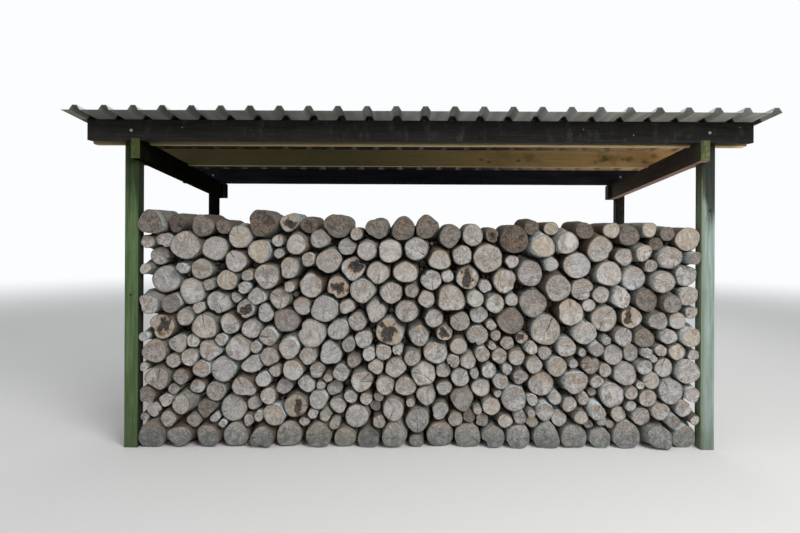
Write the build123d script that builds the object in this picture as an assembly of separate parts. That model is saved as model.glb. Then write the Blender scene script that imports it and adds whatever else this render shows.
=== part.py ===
from build123d import *

import math
import os
import random

# An open-sided log store: four posts, two side rails that fall to the back,
# two dark beams, two pale purlins, a ribbed steel roof, and the stacked logs.
# Millimetres. X runs to the right along the front, Y to the back, Z up.
# The origin is on the ground, under the middle of the roof.

# Roof slope and heights
roof_slope = 5.0                 # degrees, falling to the back
beam_top_height = 2395.0         # underside of the sheets above the front beam's face
roof_front_overhang = 252.0      # sheets in front of the front beam's face
roof_back_overhang = 125.5       # sheets behind the side rails' ends

# Roof sheets
sheet_thickness = 1.2
rib_height = 34.0
rib_pitch = 200.0
rib_base_width = 73.0
rib_crown_width = 31.0
ribs_per_sheet = 5
sheet_count = 5
first_rib_in = 93.0              # left roof edge to the middle of the first rib
lap_clearance = 0.3

# Posts
post_size = 100.0
back_post_size = 90.0            # its outer face lines up with the front post's
post_spacing = 4231.0            # middle to middle of the front posts
front_to_back = 1930.0           # front face of a front post to front face of a back post
post_top_clearance = 6.0         # below the roof sheets
frame_offset = -1.5              # from the roof's middle to the frame's middle

# Side rails
rail_width = 70.0
rail_depth = 150.0
rail_let_in = 30.0               # depth of the housing in a front post
rail_back_overhang = 20.0        # past the back posts
rail_block_width = 30.0
rail_block_depth = 146.0
rail_block_length = 97.0

# Beams and purlins
beam_thickness = 70.0
beam_depth = 150.0
beam_overhang = 244.5            # past the posts' outer faces
beam_let_in = 20.0               # bite over a rail, at the timber's front face
purlin_thickness = 47.0
purlin_depth = 146.0
purlin_overhang = 285.5          # past the posts' outer faces
purlin_corner_radius = 22.0
middle_purlin_back = 982.0       # front beam's face to the middle purlin's face
seat_clearance = 0.3             # at every sloping or housed seat
cutter_spare = 50.0              # how far a cutting shape runs past what it cuts

# The two log stacks
log_length = 480.0
log_length_spread = 28.0
log_end_scatter = 26.0           # front ends, in and out of the stack's face
set_back_share = 0.14            # share of the logs that are pushed in further
set_back_most = 70.0
pulled_out_share = 0.06          # share of the logs that stand out of the stack's face
pulled_out_most = 40.0
front_stack_setback = 4.0        # front face of the stack, behind the posts' faces
stack_headroom = 380.3           # over the stack's top line, below the side rails at the front posts
rear_stack_lower = 328.0         # the rear stack's top, below the front stack's
open_depth = 160.0               # gaps further than this below the newest log are closed
top_fall = 96.0                  # how much the stack's top falls from left to right
top_wave = 10.0                  # half the height of the waves in the top line
top_wave_turn = 9.0              # radians of wave over half the stack's width
ground_sink = 14.0               # flat worn off the logs that lie on the ground
post_clearance = 0.3             # between the stack and the posts
log_clearance = 0.3              # between neighbouring logs
front_log_nodes = 8
rear_log_nodes = 5

# Log radii by height: where each band of the front stack ends, then the least and most radius of
# each kind of log in it. Thick logs lie on the ground, thin ones above them, thick ones at the top.
log_bands = [
    (60, [(88, 110)]),
    (700, [(31, 48), (48, 68), (52, 74), (60, 82), (78, 102)]),
    (1120, [(34, 52), (50, 76), (62, 86), (76, 100), (92, 116)]),
    (2400, [(42, 60), (66, 90), (80, 104), (90, 114)]),
]
rear_log_radius = (90, 128)
filler_radius = (58, 90)         # tried where the log that was drawn finds no room

# Log outlines
log_sides = 7
rear_log_sides = 6
shortest_side = 18.0
least_swell = 0.015              # every log is at least this much thicker than its round
oval_most = 0.22                 # extra reach of an oval log along its longer way
lobe_most = 0.13                 # extra reach of a three-cornered log at its corners
side_jitter = 0.18               # share of a side by which its direction may turn
widest_log = 1.75                # no outline reaches further from its middle, in radii

# Worked out from the sizes above
slope_run = math.tan(math.radians(roof_slope))
slope_cos = math.cos(math.radians(roof_slope))
slope_sin = math.sin(math.radians(roof_slope))
roof_width = first_rib_in + (ribs_per_sheet * sheet_count - 1) * rib_pitch + rib_base_width / 2
frame_depth = beam_thickness + front_to_back + back_post_size + rail_back_overhang
roof_length = (roof_front_overhang + frame_depth + roof_back_overhang) / slope_cos
roof_reach = roof_length * slope_cos + rib_height * slope_sin
roof_front_y = -roof_reach / 2
beam_face_y = roof_front_y + roof_front_overhang
front_post_y = beam_face_y + beam_thickness
back_post_y = front_post_y + front_to_back
rail_end_y = beam_face_y + frame_depth
post_outer_x = post_spacing / 2 + post_size / 2
beam_reach = post_outer_x + beam_overhang
purlin_reach = post_outer_x + purlin_overhang
rail_outer_x = post_outer_x - post_size + rail_let_in
rail_inner_x = rail_outer_x - rail_width
rail_drop = beam_depth - beam_let_in


def roof_underside(y):
    """Height of the underside of the sheets, at a place along the depth."""
    return beam_top_height - (y - beam_face_y) * slope_run


def rail_top(y):
    return roof_underside(y) - rail_drop


def rail_bottom(y):
    return rail_top(y) - rail_depth / slope_cos


def side_prism(points, x0, x1):
    """A solid between two planes of X, from an outline given as (y, z) points."""
    outline = Plane.YZ * make_face(Polyline(*points, close=True))
    return Pos(min(x0, x1), 0, 0) * extrude(outline, abs(x1 - x0))


def save(shape, name):
    export_step(shape, f"parts/{name}.step")
    print(f"{name}: {len(shape.solids())} solids, {shape.volume / 1e9:.4f} m3")


def side_rail_outline(y0, y1, grow=0.0):
    """The rail's side, or the hole for it when it grows by a clearance."""
    return [
        (y0, rail_bottom(y0) - grow),
        (y1, rail_bottom(y1) - grow),
        (y1, rail_top(y1) + grow),
        (y0, rail_top(y0) + grow),
    ]


def side_rail(side):
    inner = frame_offset + side * rail_inner_x
    outer = frame_offset + side * rail_outer_x
    return side_prism(side_rail_outline(beam_face_y, rail_end_y), inner, outer)


def rail_housing(side, inner_clearance=0.0):
    """The space that a rail and its clearance take, for cutting seats."""
    inner = frame_offset + side * (rail_inner_x - inner_clearance)
    outer = frame_offset + side * (rail_outer_x + seat_clearance)
    outline = side_rail_outline(beam_face_y - cutter_spare, rail_end_y + cutter_spare, seat_clearance)
    return side_prism(outline, inner, outer)


def post(side, front_y, size):
    """A post with its top cut to the roof's slope, housed for the rail."""
    back_y = front_y + size
    outer = frame_offset + side * post_outer_x
    outline = [
        (front_y, 0),
        (back_y, 0),
        (back_y, roof_underside(back_y) - post_top_clearance),
        (front_y, roof_underside(front_y) - post_top_clearance),
    ]
    return side_prism(outline, outer, outer - side * size) - rail_housing(side)


def cross_timber(front_y, thickness, depth, reach, corner_radius=0.0):
    """A plumb timber across the roof, its top bevelled to the slope, bitten out over the rails.

    The lower corners of its ends are rounded off where a corner radius is given.
    """
    back_y = front_y + thickness
    top = roof_underside(front_y)
    outline = [
        (front_y, top - depth),
        (back_y, top - depth),
        (back_y, roof_underside(back_y)),
        (front_y, top),
    ]
    timber = side_prism(outline, frame_offset - reach, frame_offset + reach)
    if corner_radius:
        lowest = timber.edges().filter_by(Axis.Y).group_by(Axis.Z)[0]
        timber = fillet(lowest, corner_radius)
    for side in (-1, 1):
        timber -= rail_housing(side, seat_clearance)
    return timber


def purlin(front_y):
    return cross_timber(front_y, purlin_thickness, purlin_depth, purlin_reach, purlin_corner_radius)


def rail_block(side):
    """A short block nailed to the rail's inner side, beside the back post."""
    face = frame_offset + side * (rail_inner_x - seat_clearance)
    back_y = rail_end_y
    front_y = back_y - rail_block_length
    outline = [
        (front_y, rail_bottom(front_y)),
        (back_y, rail_bottom(back_y)),
        (back_y, rail_bottom(back_y) + rail_block_depth),
        (front_y, rail_bottom(front_y) + rail_block_depth),
    ]
    return side_prism(outline, face, face - side * rail_block_width)


def offset_line(points, distance):
    """Points of a parallel line on the left of a line of (x, z) points, with mitred corners."""
    normals = []
    for (x0, z0), (x1, z1) in zip(points, points[1:]):
        run = math.hypot(x1 - x0, z1 - z0)
        normals.append(((z0 - z1) / run, (x1 - x0) / run))
    moved = []
    for place, (x, z) in enumerate(points):
        before = normals[max(place - 1, 0)]
        after = normals[min(place, len(normals) - 1)]
        scale = distance / (1 + before[0] * after[0] + before[1] * after[1])
        moved.append((x + (before[0] + after[0]) * scale, z + (before[1] + after[1]) * scale))
    return moved


def roof_sheet(number):
    """One sheet: it laps over its left neighbour's last rib, and its own last rib lies lower."""
    left = -roof_width / 2
    first = left + first_rib_in + number * ribs_per_sheet * rib_pitch
    lap = sheet_thickness + lap_clearance
    flank_run = (rib_base_width - rib_crown_width) / 2
    line = []
    if number == 0:
        line.append((left, 0))
    else:
        line.append((first - rib_base_width / 2 + lap * flank_run / rib_height, lap))
    for count in range(ribs_per_sheet):
        middle = first + count * rib_pitch
        if count or number == 0:
            line.append((middle - rib_base_width / 2, 0))
        line.append((middle - rib_crown_width / 2, rib_height))
        line.append((middle + rib_crown_width / 2, rib_height))
        line.append((middle + rib_base_width / 2, 0))
    if number < sheet_count - 1:
        # the rib that the next sheet laps over
        middle = first + ribs_per_sheet * rib_pitch
        whole = [
            (middle - rib_base_width / 2, 0),
            (middle - rib_crown_width / 2, rib_height),
            (middle + rib_crown_width / 2, rib_height),
        ]
        under = offset_line(whole, -lap)
        flank_length = math.dist(whole[0], whole[1])
        line.append((whole[0][0] + lap * flank_length / rib_height, 0))
        line.extend([(under[1][0], under[1][1]), (under[2][0] - lap, under[2][1])])
    upper = offset_line(line, sheet_thickness)
    outline = make_face(Polyline(*line, *reversed(upper), close=True))
    place = Plane(
        origin=(0, roof_front_y, roof_underside(roof_front_y)),
        x_dir=(1, 0, 0),
        z_dir=(0, -slope_cos, slope_sin),
    )
    return extrude(place * outline, -roof_length)


class Log:
    """One log of a stack: a round in (x, z), and where it starts and ends in Y."""

    def __init__(self, x, z, radius):
        self.x = x
        self.z = z
        self.radius = radius
        self.start = 0.0
        self.end = 0.0

    def distance(self, other):
        return math.hypot(other.x - self.x, other.z - self.z)


def drawn_radius(rng, height, is_rear):
    """A radius for the next log, from the band of the stack that has been reached."""
    if is_rear:
        return rng.uniform(*rear_log_radius)
    kinds = next(kinds for top, kinds in log_bands if height < top)
    return rng.uniform(*rng.choice(kinds))


def touching_places(first, second, radius):
    """Where a new round can lie on two others."""
    a = first.radius + radius
    b = second.radius + radius
    dx = second.x - first.x
    dz = second.z - first.z
    apart = math.hypot(dx, dz)
    if apart >= a + b or apart < abs(a - b):
        return []
    along = (a * a - b * b + apart * apart) / (2 * apart)
    rise = math.sqrt(max(a * a - along * along, 0))
    ux = dx / apart
    uz = dz / apart
    places = []
    for sign in (-1, 1):
        places.append((first.x + ux * along - uz * rise * sign, first.z + uz * along + ux * rise * sign))
    return places


def lowest_place(logs, radius, left, right, closed_below):
    """The lowest spot where a round of this radius lies still, on the ground, a wall or other logs."""
    slack = 0.001
    floor_z = radius - ground_sink
    places = [(left + radius, floor_z), (right - radius, floor_z)]
    for log in logs:
        reach = log.radius + radius
        rise = floor_z - log.z
        if abs(rise) < reach:
            run = math.sqrt(reach * reach - rise * rise)
            places.append((log.x + run, floor_z))
            places.append((log.x - run, floor_z))
        for wall in (left + radius, right - radius):
            run = abs(wall - log.x)
            if run < reach:
                places.append((wall, log.z + math.sqrt(reach * reach - run * run)))
    for count, log in enumerate(logs):
        for other in logs[count + 1:]:
            if abs(other.x - log.x) < log.radius + other.radius + 2 * radius:
                low = min(log.x, other.x)
                high = max(log.x, other.x)
                for spot in touching_places(log, other, radius):
                    if low < spot[0] < high:
                        places.append(spot)
    places.sort(key=lambda spot: spot[1])
    for x, z in places:
        if x < left + radius - slack or x > right - radius + slack or z < floor_z - slack:
            continue
        if z - radius < closed_below:
            continue
        if all(math.hypot(x - log.x, z - log.z) > log.radius + radius - slack for log in logs):
            return x, z
    return None


def stack_top(x, half_width, height):
    """The stack's top line: it falls a little to the right, in long gentle waves."""
    share = (x - frame_offset) / half_width
    return height - top_fall / 2 * share + top_wave * math.cos(top_wave_turn * share)


def pack_stack(seed, left, right, height, is_rear):
    """Lay logs one by one, each in the lowest place, until the top line is reached."""
    rng = random.Random(seed)
    most_misses = 30
    most_logs = 400
    logs = []
    open_logs = []
    level = -ground_sink
    closed_below = -2 * ground_sink
    misses = 0
    while misses < most_misses and len(logs) < most_logs:
        radius = rng.uniform(*filler_radius) if misses else drawn_radius(rng, level, is_rear)
        spot = lowest_place(open_logs, radius, left, right, closed_below)
        if spot is None or spot[1] + radius > stack_top(spot[0], (right - left) / 2, height):
            misses += 1
            continue
        misses = 0
        level = max(level, spot[1] - radius)
        closed_below = max(closed_below, level - open_depth)
        log = Log(spot[0], spot[1], radius)
        logs.append(log)
        open_logs.append(log)
        open_logs = [other for other in open_logs if other.z + other.radius > closed_below]
    return logs


def clip(points, nx, nz, distance):
    """Keep the part of a convex outline where nx * x + nz * z is at most distance."""
    kept = []
    for here, after in zip(points, points[1:] + points[:1]):
        here_over = nx * here[0] + nz * here[1] - distance
        after_over = nx * after[0] + nz * after[1] - distance
        if here_over <= 0:
            kept.append(here)
        if (here_over < 0 < after_over) or (after_over < 0 < here_over):
            share = here_over / (here_over - after_over)
            kept.append((here[0] + share * (after[0] - here[0]), here[1] + share * (after[1] - here[1])))
    return kept


def without_short_sides(points):
    """Drop corners that lie almost on their neighbour."""
    kept = []
    for point in points:
        if not kept or math.dist(point, kept[-1]) > shortest_side:
            kept.append(point)
    while len(kept) > 3 and math.dist(kept[0], kept[-1]) <= shortest_side:
        kept.pop()
    return kept


def log_outline(log, logs, rng, sides, left, right):
    """A many-sided outline round a log, flat where it lies against its neighbours."""
    reach = widest_log * log.radius
    points = [
        (log.x - reach, log.z - reach),
        (log.x + reach, log.z - reach),
        (log.x + reach, log.z + reach),
        (log.x - reach, log.z + reach),
    ]
    oval = rng.uniform(0, oval_most)
    lobe = rng.uniform(0, lobe_most)
    longer_way = rng.uniform(0, math.pi)
    turn = rng.uniform(0, 2 * math.pi)
    for side in range(sides):
        angle = turn + (side + rng.uniform(-side_jitter, side_jitter)) * 2 * math.pi / sides
        swell = least_swell + oval * math.cos(angle - longer_way) ** 2
        swell += lobe * (1 + math.cos(3 * (angle - longer_way))) / 2
        nx = math.cos(angle)
        nz = math.sin(angle)
        points = clip(points, nx, nz, nx * log.x + nz * log.z + log.radius * (1 + swell))
    for other in logs:
        apart = log.distance(other)
        if other is log or apart > widest_log * (log.radius + other.radius):
            continue
        nx = (other.x - log.x) / apart
        nz = (other.z - log.z) / apart
        middle = (apart * apart + log.radius ** 2 - other.radius ** 2) / (2 * apart)
        points = clip(points, nx, nz, nx * log.x + nz * log.z + middle - log_clearance / 2)
    points = clip(points, 0, -1, 0)
    points = clip(points, -1, 0, -left)
    points = clip(points, 1, 0, right)
    return without_short_sides(points)


def place_front_ends(logs, seed, face_y):
    """The front ends scatter in and out of the stack's face, a few set well back or standing out."""
    rng = random.Random(seed)
    for log in logs:
        log.start = face_y + rng.uniform(-log_end_scatter, log_end_scatter)
        draw = rng.random()
        if draw < set_back_share:
            log.start += rng.uniform(0, set_back_most)
        elif draw > 1 - pulled_out_share:
            log.start -= rng.uniform(0, pulled_out_most)
        log.end = log.start + log_length + rng.uniform(-log_length_spread, log_length_spread)


def push_against(logs, seed, others):
    """Each log of the rear stack is pushed up to the logs in front of it."""
    rng = random.Random(seed)
    for log in logs:
        beside = [
            other.end for other in others
            if log.distance(other) < widest_log * (other.radius + log.radius)
        ]
        log.start = max(beside) + log_clearance
        log.end = log.start + log_length + rng.uniform(-log_length_spread, log_length_spread)


def log_solids(logs, seed, sides, left, right):
    """The logs as solids, sorted from the ground up."""
    rng = random.Random(seed)
    solids = []
    for log in sorted(logs, key=lambda each: (each.z, each.x)):
        outline = make_face(Polyline(*log_outline(log, logs, rng, sides, left, right), close=True))
        plane = Plane(origin=(0, log.start, 0), x_dir=(1, 0, 0), z_dir=(0, -1, 0))
        solids.append(extrude(plane * outline, log.start - log.end))
    return solids


def save_logs(solids, name, count):
    """Share the logs of a stack among nodes, each a band from the ground up."""
    per_node = math.ceil(len(solids) / count)
    for number in range(count):
        band = solids[number * per_node:(number + 1) * per_node]
        save(Compound(children=band), f"{name}_{number + 1}")


os.makedirs("parts", exist_ok=True)

for side, word in ((-1, "left"), (1, "right")):
    save(post(side, front_post_y, post_size), f"post_front_{word}")
    save(post(side, back_post_y, back_post_size), f"post_back_{word}")
    save(side_rail(side), f"side_rail_{word}")
    save(rail_block(side), f"rail_block_{word}")

back_beam_y = back_post_y - beam_thickness
save(cross_timber(beam_face_y, beam_thickness, beam_depth, beam_reach), "front_beam")
save(cross_timber(back_beam_y, beam_thickness, beam_depth, beam_reach), "back_beam")
save(purlin(front_post_y + post_size), "front_purlin")
save(purlin(beam_face_y + middle_purlin_back), "middle_purlin")

for number in range(sheet_count):
    save(roof_sheet(number), f"roof_sheet_{number + 1}")

stack_reach = post_outer_x - post_size - post_clearance
stack_left = frame_offset - stack_reach
stack_right = frame_offset + stack_reach
front_stack_height = rail_bottom(front_post_y) - stack_headroom
rear_stack_height = front_stack_height - rear_stack_lower
front_logs = pack_stack(37, stack_left, stack_right, front_stack_height, False)
place_front_ends(front_logs, 3, front_post_y + front_stack_setback)
save_logs(log_solids(front_logs, 11, log_sides, stack_left, stack_right), "front_logs", front_log_nodes)

rear_logs = pack_stack(5, stack_left, stack_right, rear_stack_height, True)
push_against(rear_logs, 4, front_logs)
save_logs(log_solids(rear_logs, 13, rear_log_sides, stack_left, stack_right), "rear_logs", rear_log_nodes)
print(len(front_logs), "front logs,", len(rear_logs), "rear logs")
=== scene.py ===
# %% [markdown]
# # A log store, dressed from its solid model
#
# The solids already hold the real sizes: posts, rails, beams, roof sheets and every stacked log.
# This lesson gives each of them its surface. Nothing is moved or resized: where a solid is too plain
# to show, a finer mesh is built in the same space and stands in for it.

import math
import random

import bmesh
import bpy
import numpy as np
from mathutils import Euler, Matrix, Vector, noise


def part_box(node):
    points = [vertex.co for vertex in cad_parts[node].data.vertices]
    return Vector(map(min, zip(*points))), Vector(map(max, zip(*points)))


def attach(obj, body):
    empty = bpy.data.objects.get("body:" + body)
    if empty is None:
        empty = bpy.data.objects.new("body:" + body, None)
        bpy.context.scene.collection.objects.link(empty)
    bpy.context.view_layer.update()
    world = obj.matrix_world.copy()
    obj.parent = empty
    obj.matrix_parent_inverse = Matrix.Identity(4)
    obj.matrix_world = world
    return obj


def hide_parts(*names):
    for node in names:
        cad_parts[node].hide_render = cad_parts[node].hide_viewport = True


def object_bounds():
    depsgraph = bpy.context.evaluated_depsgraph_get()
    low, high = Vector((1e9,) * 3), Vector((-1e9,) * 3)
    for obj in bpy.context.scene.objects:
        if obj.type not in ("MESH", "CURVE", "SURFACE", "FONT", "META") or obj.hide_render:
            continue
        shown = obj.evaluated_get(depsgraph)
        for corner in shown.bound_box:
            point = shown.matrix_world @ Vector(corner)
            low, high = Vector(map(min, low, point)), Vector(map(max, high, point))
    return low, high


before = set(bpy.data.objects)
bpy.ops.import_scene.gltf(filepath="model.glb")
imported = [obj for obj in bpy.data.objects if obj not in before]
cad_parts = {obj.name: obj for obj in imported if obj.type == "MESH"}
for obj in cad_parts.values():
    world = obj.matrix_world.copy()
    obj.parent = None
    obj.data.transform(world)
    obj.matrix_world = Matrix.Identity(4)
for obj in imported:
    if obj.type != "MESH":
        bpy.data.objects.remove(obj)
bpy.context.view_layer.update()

# %% [markdown]
# ## Arithmetic on sockets
#
# A finish is mostly sums: a mask times a strength, one minus a mask. Written as nodes that is long
# and hard to read, so a small class wraps one output socket and turns Python's operators into Math
# nodes, or Vector Math nodes for places. Any other node comes from one method called node.

# %% A socket that can be added, scaled and subtracted


class Socket:
    """One output of a node. Arithmetic on it adds nodes to its tree."""

    def __init__(self, nodes, output):
        self.nodes = nodes
        self.output = output

    def __add__(self, other):
        return self.nodes.math("ADD", self, other)

    def __sub__(self, other):
        return self.nodes.math("SUBTRACT", self, other)

    def __rsub__(self, other):
        return self.nodes.math("SUBTRACT", other, self)

    def __mul__(self, other):
        return self.nodes.math("MULTIPLY", self, other)

    def __truediv__(self, other):
        return self.nodes.math("DIVIDE", self, other)

    def __abs__(self):
        return self.nodes.math("ABSOLUTE", self)

    __radd__ = __add__
    __rmul__ = __mul__

    def part(self, axis):
        """One of a vector's three numbers."""
        return self.nodes.node("ShaderNodeSeparateXYZ", None, {0: self}, axis)

    def length(self):
        return self.nodes.node("ShaderNodeVectorMath", {"operation": "LENGTH"}, {0: self}, 1)

    def step(self, start, end):
        """0 up to start, 1 beyond end, and smooth between them. End may be the smaller number."""
        entries = {"Value": self, "From Min": start, "From Max": end}
        return self.nodes.node("ShaderNodeMapRange", {"interpolation_type": "SMOOTHSTEP"}, entries)

    def noise(self, scale, detail=3.0, roughness=0.55):
        entries = {"Vector": self, "Scale": scale, "Detail": detail, "Roughness": roughness}
        return self.nodes.node("ShaderNodeTexNoise", None, entries)

    def wander(self, most, *noise_values):
        """Noise that swings to both sides of zero, by up to half of most."""
        return (self.noise(*noise_values) - 0.5) * most


class Nodes:
    """The node tree of a material or of the world."""

    def __init__(self, tree):
        self.tree = tree

    def node(self, kind, settings=None, sockets=None, output=0):
        """Add any node: its settings first, then the values or links of its sockets."""
        made = self.tree.nodes.new(kind)
        for name, value in (settings or {}).items():
            setattr(made, name, value)
        for name, value in (sockets or {}).items():
            self.feed(made.inputs[name], value)
        return Socket(self, made.outputs[output])

    def feed(self, entry, value):
        if isinstance(value, Socket):
            self.tree.links.new(value.output, entry)
        else:
            entry.default_value = value

    def math(self, operation, *values):
        """A Math node, or a Vector Math node where one of the values is a vector."""
        kind = "ShaderNodeVectorMath" if any(map(is_vector, values)) else "ShaderNodeMath"
        return self.node(kind, {"operation": operation}, dict(enumerate(values)))

    def mix(self, factor, first, second):
        """Mix two colours; a colour is three numbers or a socket."""
        entries = {0: factor, 6: opaque(first), 7: opaque(second)}
        return self.node("ShaderNodeMix", {"data_type": "RGBA"}, entries, 2)


def is_vector(value):
    return isinstance(value, tuple) or isinstance(value, Socket) and value.output.type == "VECTOR"


def opaque(colour):
    return colour if isinstance(colour, Socket) else (*colour, 1.0)


# %% [markdown]
# ## A finish
#
# A finish is one material. It starts with a coat of one colour, and then every stain, streak and speck is
# laid over it: a mask says where, and a tint says what colour. Masks are often made from the point's
# place in metres, so the finish keeps that place and its three parts at hand.

# %% A material that is painted layer by layer


class Finish(Nodes):
    """A material while it is being made, with one Principled shader to feed."""

    def __init__(self, name, roughness=0.85, metallic=0.0, shine=0.5):
        self.material = bpy.data.materials.new(name)
        self.material.use_nodes = True
        super().__init__(self.material.node_tree)
        self.shader = self.tree.nodes["Principled BSDF"]
        for entry, value in (("Roughness", roughness), ("Metallic", metallic), ("Specular IOR Level", shine)):
            self.feed(self.shader.inputs[entry], value)
        # every piece sits at the origin, so its own coordinates are its place in metres
        self.place = self.node("ShaderNodeTexCoord", None, None, 3)
        self.across, self.depth, self.height = (self.place.part(axis) for axis in range(3))

    def attribute(self, name, output=2):
        """A value stored on the mesh: output 1 reads it as a vector, 2 as a number."""
        return self.node("ShaderNodeAttribute", {"attribute_name": name}, None, output)

    def facing(self, axis, output=1):
        """How far the surface looks along an axis, from -1 to 1; output 3 reads the bare faces."""
        return self.node("ShaderNodeNewGeometry", None, None, output).part(axis)

    def coat(self, colour):
        """Give the whole surface a colour."""
        self.base = colour
        self.feed(self.shader.inputs["Base Color"], opaque(colour))

    def lay(self, mask, tint):
        """Lay a tint over the colour so far, as strongly as the mask says, from 0 to 1."""
        self.coat(self.mix(mask, self.base, tint))

    def bump(self, height, distance, strength):
        entries = {"Height": height, "Distance": distance, "Strength": strength}
        self.feed(self.shader.inputs["Normal"], self.node("ShaderNodeBump", None, entries))


# %% [markdown]
# ## Timber
#
# Sawn posts and beams are never dead sharp: their arrises are worn, and their faces cup and shrink by
# a millimetre. Each timber starts as a copy of its solid, gets its edges rounded with a bevel, is cut
# into short lengths, and then every point sinks inwards by a little noise, never outwards. The
# mesh also stores its own grain coordinates, so that one finish works on posts, rails and beams alike.

# %% Turn a solid timber into a worn one
ARRIS = 0.004          # how far the edges are worn round
WEAR_DEPTH = 0.0012    # deepest hollow worn into a face
WEAR_SCALE = 9         # hollows in each metre across the grain
WEAR_STRETCH = 0.3     # and this share of them along it
WEAR_SHIFT = (3.17, 1.73)    # from one timber to the next, so that no two wear alike
GRAIN_SHIFT = (0.61, 0.37)   # and the same for the grain, in metres
CUT_EVERY = 0.07       # length of the pieces that a timber is cut into


def rest_mesh(node_name):
    """The solid's mesh with its split corners joined and its flat faces whole again."""
    mesh = bmesh.new()
    mesh.from_mesh(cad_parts[node_name].data)
    bmesh.ops.remove_doubles(mesh, verts=mesh.verts, dist=1e-5)
    bmesh.ops.dissolve_limit(mesh, angle_limit=0.01, verts=mesh.verts, edges=mesh.edges)
    return mesh


def add_piece(piece_name, data, node_name=None):
    """Put a mesh into the scene; where a node is named, it stands in for that solid."""
    piece = bpy.data.objects.new(piece_name, data)
    bpy.context.scene.collection.objects.link(piece)
    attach(piece, "root")
    if node_name:
        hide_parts(node_name)
    print(piece_name, len(data.polygons), "faces")


def grain_axes(direction):
    """Three directions at right angles, the last one along the grain."""
    along = Vector(direction).normalized()
    side = along.cross(Vector((0, 0, 1)) if abs(along.z) < 0.9 else Vector((0, 1, 0))).normalized()
    return side, along.cross(side), along


def cut_to_lengths(mesh, along):
    reach = [along.dot(point.co) for point in mesh.verts]
    run = max(reach) - min(reach)
    count = int(run / CUT_EVERY)
    for place in range(1, count):
        cut = min(reach) + run * place / count
        geometry = list(mesh.verts) + list(mesh.edges) + list(mesh.faces)
        bmesh.ops.bisect_plane(mesh, geom=geometry, plane_co=along * cut, plane_no=along, dist=1e-6)


def worn_timber(node_name, direction, side_finish, end_finish, seed):
    side, up, along = grain_axes(direction)
    mesh = rest_mesh(node_name)
    bmesh.ops.bevel(
        mesh, geom=list(mesh.edges), offset=ARRIS, segments=3, profile=0.6, affect="EDGES",
        clamp_overlap=True)
    cut_to_lengths(mesh, along)
    mesh.normal_update()
    offset = Vector((seed * WEAR_SHIFT[0], seed * WEAR_SHIFT[1], 0))
    for point in mesh.verts:
        spot = Vector((side.dot(point.co), up.dot(point.co), along.dot(point.co) * WEAR_STRETCH))
        sink = WEAR_DEPTH * (0.5 + 0.5 * noise.noise(spot * WEAR_SCALE + offset))
        moved = point.co - point.normal * sink
        if point.co.z < 0.001:         # a post's foot stays on the ground
            moved.z = point.co.z
        point.co = moved
    bmesh.ops.triangulate(mesh, faces=[face for face in mesh.faces if len(face.verts) > 4])
    mesh.normal_update()
    for face in mesh.faces:
        face.material_index = 1 if abs(face.normal.dot(along)) > 0.8 else 0
        face.smooth = True
    data = bpy.data.meshes.new("worn_" + node_name)
    mesh.to_mesh(data)
    mesh.free()
    data.set_sharp_from_angle(angle=math.radians(35))
    grain = data.attributes.new("grain_place", "FLOAT_VECTOR", "POINT")
    for point, entry in zip(data.vertices, grain.data):
        across = side.dot(point.co) + seed * GRAIN_SHIFT[0], up.dot(point.co) + seed * GRAIN_SHIFT[1]
        entry.vector = (*across, along.dot(point.co))
    data.materials.append(side_finish)
    data.materials.append(end_finish)
    add_piece("worn_" + node_name, data, node_name)


# %% [markdown]
# ## Finishes for the timber
#
# All the timbers share one recipe. Long thin noise along the grain makes the streaks, a slower noise
# makes broad bands, thin dark lines are drying checks, and knots are dark ovals. What changes from timber to
# timber is the colours: grey-green where algae has grown over treated wood, nearly black where it was
# stained, and tan where it was left bare. Old sawn wood hardly shines, so the shine is set low.

# %% The shared grain
TIMBER_SHINE = 0.12


def timber_finish(name, dark, pale, weather=(), knots=0.0, checks=0.5, roughness=0.88, shine=TIMBER_SHINE):
    """Wood between two colours. Each entry of weather is a function from the next cell and its values."""
    finish = Finish(name, roughness, shine=shine)
    place = finish.attribute("grain_place", 1)
    streaks = (place * (1, 1, 0.035)).noise(95, 5.0, 0.62)
    slow = (place * (1, 1, 0.15)).noise(14)
    finish.coat(finish.mix((streaks * 0.7 + slow * 0.5).step(0.38, 0.82), dark, pale))
    lines = (place * (1, 1, 0.02)).noise(26, 2.0)
    check = abs(lines - 0.5).step(0.012, 0.003) * slow.step(0.45, 0.6)
    finish.lay(check * checks, (0.012, 0.010, 0.008))
    if knots:
        entries = {"Vector": place * (1, 1, 0.42), "Scale": 7.5}
        spots = finish.node("ShaderNodeTexVoronoi", {"feature": "F1"}, entries)
        ragged = spots + place.noise(60, 2.0) * 0.05
        finish.lay(ragged.step(0.28, 0.1) * knots * 0.35, (0.10, 0.055, 0.02))
        finish.lay(ragged.step(0.12, 0.07) * knots, (0.035, 0.018, 0.008))
    for lay_weather, *values in weather:
        lay_weather(finish, *values)
    finish.bump(streaks + slow * 0.4 - check * 0.8, 0.0016, 0.8)
    return finish.material


# %% [markdown]
# ## Weather on the timber
#
# Each of these small functions lays one kind of weather over the wood: stain that has run down a post from
# the beam, damp that climbs from the ground, moss, dust on black stain. Others paint light and shade: a
# paler underside, which on the purlins is painted light from below, a shaded inner side, the beam's shadow
# on a purlin, and shade towards the left end. They read the point's place in metres, so that the marks lie
# where rain, shade and soil would put them.

# %% Runs, damp and moss


def stain_runs(finish, top, bottom, strength, tint=(0.016, 0.017, 0.015)):
    """Black stain has run down a post, in streaks that thin out from top to bottom."""
    reach = finish.height + (finish.place * (1, 1, 0.05)).wander(0.95, 60, 3.0, 0.6)
    finish.lay(reach.step(bottom, top) * strength, tint)


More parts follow.
